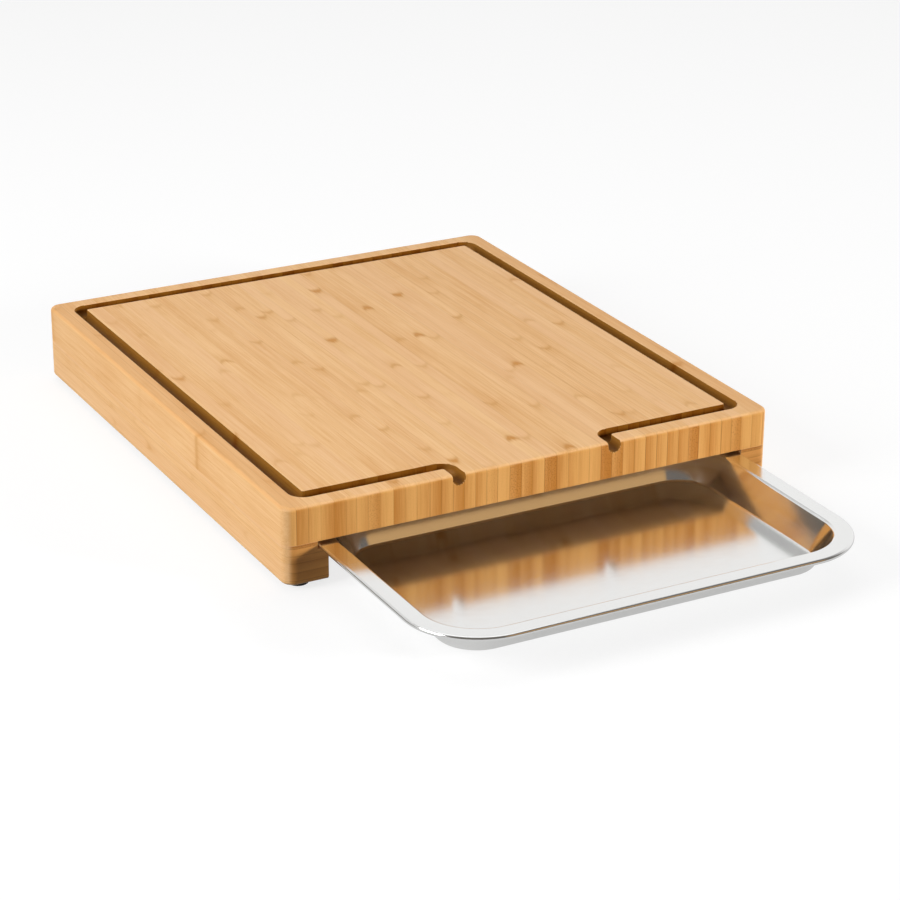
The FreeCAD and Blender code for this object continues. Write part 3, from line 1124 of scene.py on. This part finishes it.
@dataclass
class DripTray:
    """The pressed tray: a flat rim with a rolled hem, drafted walls and a flat floor."""

    node: str = "drip_tray"
    corner_radius: float = 46.5 * MM
    sheet: float = 0.8 * MM
    hem_thickness: float = 3.0 * MM
    hem_width: float = 3.6 * MM
    rim_width: float = 12 * MM
    rim_bend: float = 2.0 * MM
    depth: float = 19.2 * MM
    draft: float = math.radians(30)
    floor_bend: float = 2.8 * MM
    floor_start: float = 2 * MM
    corner_steps: int = 28
    hem_steps: int = 10
    rim_bend_steps: int = 8
    floor_bend_steps: int = 10
    crease_angle: float = math.radians(50)
    steel: BrushedSteel = BrushedSteel()

    def build(self) -> bpy.types.Object:
        """Makes the tray.

        Returns:
            Its object.
        """
        low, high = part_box(self.node)
        mesh = bmesh.new()
        middle = Vector(((low.x + high.x) / 2, low.y, high.z))
        self.draw_section(mesh, middle)
        across = high.x - low.x - 2 * self.corner_radius
        deep = high.y - low.y - 2 * self.corner_radius
        path = Sweep(mesh, [*mesh.verts, *mesh.edges], middle, X, Z)
        path.run(across / 2)
        for length in (deep, across, deep):
            path.bend(self.corner_radius, QUARTER, self.corner_steps).run(length)
        path.bend(self.corner_radius, QUARTER, self.corner_steps).run(across / 2)
        bmesh.ops.remove_doubles(mesh, verts=mesh.verts, dist=SAME_PLACE)
        floor_level = high.z - self.depth - self.sheet / 2
        floor_rim = [edge for edge in edges_at(mesh, Z, floor_level) if edge.is_boundary]
        bmesh.ops.holes_fill(mesh, edges=floor_rim, sides=0)
        bmesh.ops.recalc_face_normals(mesh, faces=mesh.faces)
        steel = self.steel.material()
        tray = finished(mesh, "tray_sheet", steel)
        wall = tray.modifiers.new("SheetThickness", "SOLIDIFY")
        wall.thickness = self.sheet
        wall.offset = 0
        wall.use_even_offset = True
        tray = finished(settled(tray), "tray", steel)
        smooth(tray, self.crease_angle)
        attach(tray, "tray")
        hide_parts(self.node)
        return tray

    def draw_section(self, mesh: bmesh.types.BMesh, outer: Vector) -> None:
        """Draws the middle of the sheet's thickness, from the hem to the floor.

        Args:
            mesh: the mesh that gets the line.
            outer: the rim's outer edge, at its top.
        """
        half = self.sheet / 2
        hem_radius = (self.hem_thickness - self.sheet) / 2
        slope = QUARTER - self.draft
        shift = half * (1 - math.sin(self.draft)) / math.cos(self.draft)
        rim_tangent = self.rim_bend * math.tan(slope / 2)
        floor_tangent = self.floor_bend * math.tan(slope / 2)
        rim_corner = self.rim_width - shift
        rim_flat = rim_corner - rim_tangent - half - hem_radius
        wall = self.depth / math.cos(self.draft) - rim_tangent - floor_tangent
        hem_end = outer + Y * self.hem_width - Z * (self.hem_thickness - half)
        first = bmesh.ops.create_vert(mesh, co=hem_end)["vert"]
        line = Sweep(mesh, first, hem_end, -Y, X)
        line.run(self.hem_width - half - hem_radius).bend(hem_radius, -math.pi, self.hem_steps)
        line.run(rim_flat).bend(self.rim_bend, -slope, self.rim_bend_steps)
        line.run(wall).bend(self.floor_bend, slope, self.floor_bend_steps).run(self.floor_start)


# -------------------------------------------------------------------------- the feet and screws


@dataclass
class Feet:
    """The four rubber feet, counterbored for their screws."""

    node: str = "feet"
    radius: float = 6.5 * MM
    hole_radius: float = 1.7 * MM
    counterbore_radius: float = 3.2 * MM
    seat: float = 2.1 * MM
    edge_radius: float = 0.7 * MM
    eased_edge: float = 0.2 * MM
    sides: int = 48
    rubber: Rubber = Rubber()

    def places(self) -> list[Vector]:
        """Finds the feet.

        Returns:
            The middles of their undersides.
        """
        low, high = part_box(self.node)
        inset = self.radius
        return [
            Vector((across, along, low.z))
            for across in (low.x + inset, high.x - inset)
            for along in (low.y + inset, high.y - inset)
        ]

    def build(self) -> bpy.types.Object:
        """Makes the feet.

        Returns:
            Their object.
        """
        low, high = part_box(self.node)
        mesh = bmesh.new()
        for place in self.places():
            self.turn_foot(mesh, place, high.z - low.z)
        bmesh.ops.recalc_face_normals(mesh, faces=mesh.faces)
        feet = finished(mesh, "rubber_feet", self.rubber.material())
        smooth(feet)
        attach(feet, "board")
        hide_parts(self.node)
        return feet

    def turn_foot(self, mesh: bmesh.types.BMesh, centre: Vector, height: float) -> None:
        """Turns one foot on its axis.

        Args:
            mesh: the mesh that gets it.
            centre: the middle of its underside.
            height: its height.
        """
        edge, lip = self.edge_radius, self.eased_edge
        start = centre + X * self.counterbore_radius + Z * self.seat
        first = bmesh.ops.create_vert(mesh, co=start)["vert"]
        old = set(mesh.verts) - set(first)
        line = Sweep(mesh, first, start, -Z, Y)
        line.run(self.seat - lip).bend(lip, -QUARTER, EASED_STEPS)
        line.run(self.radius - self.counterbore_radius - lip - edge).bend(edge, -QUARTER, EDGE_STEPS)
        line.run(height - edge - lip).bend(lip, -QUARTER, EASED_STEPS)
        line.run(self.radius - self.hole_radius - lip).turn(-QUARTER).run(height - self.seat)
        line.turn(-QUARTER).run(self.counterbore_radius - self.hole_radius)
        section = [vert for vert in mesh.verts if vert not in old]
        edges = {edge for vert in section for edge in vert.link_edges}
        bmesh.ops.spin(
            mesh, geom=[*section, *edges], cent=centre, axis=Z, angle=math.tau, steps=self.sides,
            use_merge=True,
        )
        bmesh.ops.remove_doubles(mesh, verts=mesh.verts, dist=SAME_PLACE)


@dataclass
class FootScrews:
    """The four pan-head screws that hold the feet."""

    node: str = "foot_screws"
    head_radius: float = 3.0 * MM
    shank_radius: float = 1.5 * MM
    head_recess: float = 0.5 * MM
    head_height: float = 1.6 * MM
    head_edge_radius: float = 1.0 * MM
    length: float = 14 * MM
    recess_length: float = 3.4 * MM
    recess_width: float = 0.8 * MM
    recess_depth: float = 0.9 * MM
    sides: int = 32
    steel: ScrewSteel = ScrewSteel()

    def build(self) -> bpy.types.Object:
        """Makes the screws.

        Returns:
            Their object.
        """
        mesh = bmesh.new()
        for place in Feet().places():
            self.add_screw(mesh, place + Z * self.head_recess)
        screws = finished(mesh, "screws", self.steel.material())
        smooth(screws)
        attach(screws, "board")
        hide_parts(self.node)
        return screws

    def add_screw(self, mesh: bmesh.types.BMesh, bottom: Vector) -> None:
        """Adds one screw.

        Args:
            mesh: the mesh that gets it.
            bottom: the middle of its head's underside.
        """
        blank = bmesh.new()
        first = bmesh.ops.create_vert(blank, co=bottom)["vert"]
        line = Sweep(blank, first, bottom, X, Y)
        edge = self.head_edge_radius
        line.run(self.head_radius - edge).bend(edge, -QUARTER, EDGE_STEPS).run(self.head_height - edge)
        line.turn(-QUARTER).run(self.head_radius - self.shank_radius).turn(QUARTER)
        line.run(self.length - self.head_height).turn(-QUARTER).run(self.shank_radius)
        bmesh.ops.remove_doubles(blank, verts=blank.verts, dist=SAME_PLACE)
        bmesh.ops.spin(
            blank, geom=[*blank.verts, *blank.edges], cent=bottom, axis=Z, angle=math.tau,
            steps=self.sides, use_merge=True,
        )
        bmesh.ops.remove_doubles(blank, verts=blank.verts, dist=SAME_PLACE)
        bmesh.ops.recalc_face_normals(blank, faces=blank.faces)
        for turned in (False, True):
            slot = bmesh.new()
            half = Vector((self.recess_length / 2, self.recess_width / 2, self.recess_depth))
            if turned:
                half.x, half.y = half.y, half.x
            block(slot, bottom - half, bottom + half)
            blank = cut(blank, slot)
        for face in blank.faces:
            face.material_index = 0
        screw = bpy.data.meshes.new("screw")
        blank.to_mesh(screw)
        blank.free()
        mesh.from_mesh(screw)
        bpy.data.meshes.remove(screw)


# ------------------------------------------------------------------------------------ the studio


@dataclass(frozen=True)
class SoftBox:
    """A square soft box that shines at the board."""

    name: str
    at: Place
    size: float
    watts: float
    mirrored: bool = True

    def hang(self) -> None:
        """Hangs it, turned towards the board."""
        data = bpy.data.lights.new(self.name, "AREA")
        data.shape = "SQUARE"
        data.size = self.size
        data.energy = self.watts
        lamp = bpy.data.objects.new(self.name, data)
        at = Vector(self.at)
        lamp.matrix_world = Matrix.Translation(at) @ at.to_track_quat("Z", "Y").to_matrix().to_4x4()
        lamp.visible_glossy = self.mirrored
        bpy.context.scene.collection.objects.link(lamp)


@dataclass(frozen=True)
class Room:
    """The world round the board.

    The camera sees it as white, and it lights the board from the back. Mirrors see a room that is
    white at the back and the right, grey overhead, dark low at the left and in front, and brown in
    one patch at the front right. Each span is a range of one part of a direction, or of the cosine
    of the angle to the patch, over which one of these fades into another.
    """

    front_level: float = 0.02
    back_level: float = 0.3
    light_edge: Span = (-0.3, 0.3)
    roof_edge: Span = (0.45, 0.8)
    roof_colour: Colour = (0.2, 0.2, 0.2, 1)
    left_edge: Span = (-0.25, -0.45)
    left_top: Span = (0.38, 0.28)
    left_colour: Colour = (0.12, 0.1, 0.08, 1)
    wall_edge: Span = (0.1, -0.4)
    wall_rise: Span = (0.08, 0.34)
    wall_low_colour: Colour = (0.05, 0.04, 0.03, 1)
    wall_high_colour: Colour = (0.17, 0.155, 0.14, 1)
    patch_direction: Place = (0.45, -0.74, 0.5)
    patch_edge: Span = (0.95, 0.99)
    patch_colour: Colour = (0.6, 0.36, 0.155, 1)

    def build(self) -> None:
        """Puts the room round the scene."""
        world = bpy.data.worlds.new("studio")
        bpy.context.scene.world = world
        world.use_nodes = True
        graph = Graph(world.node_tree)
        seen = graph.node("LightPath").outputs
        direction = graph.node("TexCoord").outputs["Generated"]
        way = graph.parts(direction)
        light = graph.between(way["Y"], *self.light_edge, self.front_level, self.back_level)
        unlit = graph.mixed(seen["Is Glossy Ray"], light, self.mirrored(graph, direction, way))
        shown = graph.mixed(seen["Is Camera Ray"], unlit, WHITE)
        sky = graph.node("Background", {"Color": shown, "Strength": 1.0})
        graph.node("OutputWorld", {"Surface": sky.outputs[0]})

    def mirrored(self, graph: Graph, direction: Socket, way: bpy.types.bpy_prop_collection) -> Socket:
        """The room that mirrors see.

        Args:
            graph: the world's nodes.
            direction: the direction looked in.
            way: its three parts.

        Returns:
            The colour's socket.
        """
        roof = graph.mixed(graph.between(way["Z"], *self.roof_edge), WHITE, self.roof_colour)
        leftwards = graph.between(way["X"], *self.left_edge)
        low = graph.between(way["Z"], *self.left_top)
        sides = graph.mixed(graph.math("MULTIPLY", leftwards, low), roof, self.left_colour)
        raised = graph.between(way["Z"], *self.wall_rise)
        wall = graph.mixed(raised, self.wall_low_colour, self.wall_high_colour)
        room = graph.mixed(graph.between(way["Y"], *self.wall_edge), sides, wall)
        aside = graph.node("VectorMath", {0: direction, 1: self.patch_direction}, operation="DOT_PRODUCT")
        patch = graph.between(aside.outputs["Value"], *self.patch_edge)
        return graph.mixed(patch, room, self.patch_colour)


@dataclass
class Studio:
    """The camera, a plain pale floor, the room round it and the lamps."""

    camera_at: Place = (-0.78251, -1.45624, 0.72313)
    azimuth: float = math.radians(-28.321)
    elevation: float = math.radians(23.217)
    roll: float = math.radians(0.384)
    lens_mm: float = 110.88
    sensor_mm: float = 36.0
    sight: float = 50.0
    floor_size: float = 12.0
    floor_colour: Colour = (0.25, 0.25, 0.25, 1)
    floor_glow: float = 0.78
    mirrored_glow: float = 0.6
    room: Room = Room()
    lamps: tuple[SoftBox, ...] = (
        SoftBox("left", (-1.75, -0.08, 0.85), 1.0, 31.0),
        SoftBox("top", (0.1, 0.5, 1.7), 1.6, 9.0),
        SoftBox("front_right", (2.08, -2.224, 0.768), 0.64, 90.0, mirrored=False),
    )

    def build(self) -> None:
        """Makes all of it."""
        self.place_camera()
        self.lay_floor()
        self.room.build()
        for lamp in self.lamps:
            lamp.hang()

    def place_camera(self) -> None:
        """Sets the camera up where it stands."""
        data = bpy.data.cameras.new("camera")
        data.lens = self.lens_mm
        data.sensor_width = self.sensor_mm
        data.sensor_fit = "HORIZONTAL"
        data.clip_end = self.sight
        camera = bpy.data.objects.new("camera", data)
        flat = math.cos(self.elevation)
        forward = -math.cos(self.azimuth) * flat
        back = Vector((math.sin(self.azimuth) * flat, forward, math.sin(self.elevation)))
        level = Vector((math.cos(self.azimuth), math.sin(self.azimuth), 0))
        upright = back.cross(level)
        right = math.cos(self.roll) * level + math.sin(self.roll) * upright
        top = back.cross(right)
        turn = Matrix((right, top, back)).transposed().to_4x4()
        camera.matrix_world = Matrix.Translation(self.camera_at) @ turn
        bpy.context.scene.collection.objects.link(camera)
        bpy.context.scene.camera = camera

    def lay_floor(self) -> None:
        """Lays a floor that the camera sees as white, apart from the shadows on it."""
        mesh = bmesh.new()
        bmesh.ops.create_grid(mesh, x_segments=1, y_segments=1, size=self.floor_size / 2)
        material, graph = new_material("floor_paper")
        seen = graph.node("LightPath").outputs
        mirrored = seen["Is Glossy Ray"]
        shown = graph.math("MULTIPLY_ADD", mirrored, self.mirrored_glow, seen["Is Camera Ray"])
        paper = graph.node("BsdfDiffuse", {"Color": self.floor_colour})
        glow = graph.node("Emission", {"Strength": graph.math("MULTIPLY", shown, self.floor_glow)})
        both = graph.node("AddShader", {0: paper.outputs[0], 1: glow.outputs[0]})
        graph.node("OutputMaterial", {"Surface": both.outputs[0]})
        floor = finished(mesh, "floor", material)


def main() -> None:
    """Builds the studio and the board, piece by piece."""
    logging.basicConfig(level=logging.INFO, format="%(message)s")
    bpy.context.scene.view_settings.view_transform = "Standard"
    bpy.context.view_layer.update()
    Studio().build()
    parts = [
        CuttingSlab(),
        SideRail("left_rail", Side.LEFT),
        SideRail("right_rail", Side.RIGHT),
        BackRail(),
        DripTray(),
        Feet(),
        FootScrews(),
    ]
    for part in parts:
        piece = part.build()
        LOG.info("%s stands for %s: %d faces", piece.name, part.node, len(piece.data.polygons))


if __name__ == "__main__":
    main()
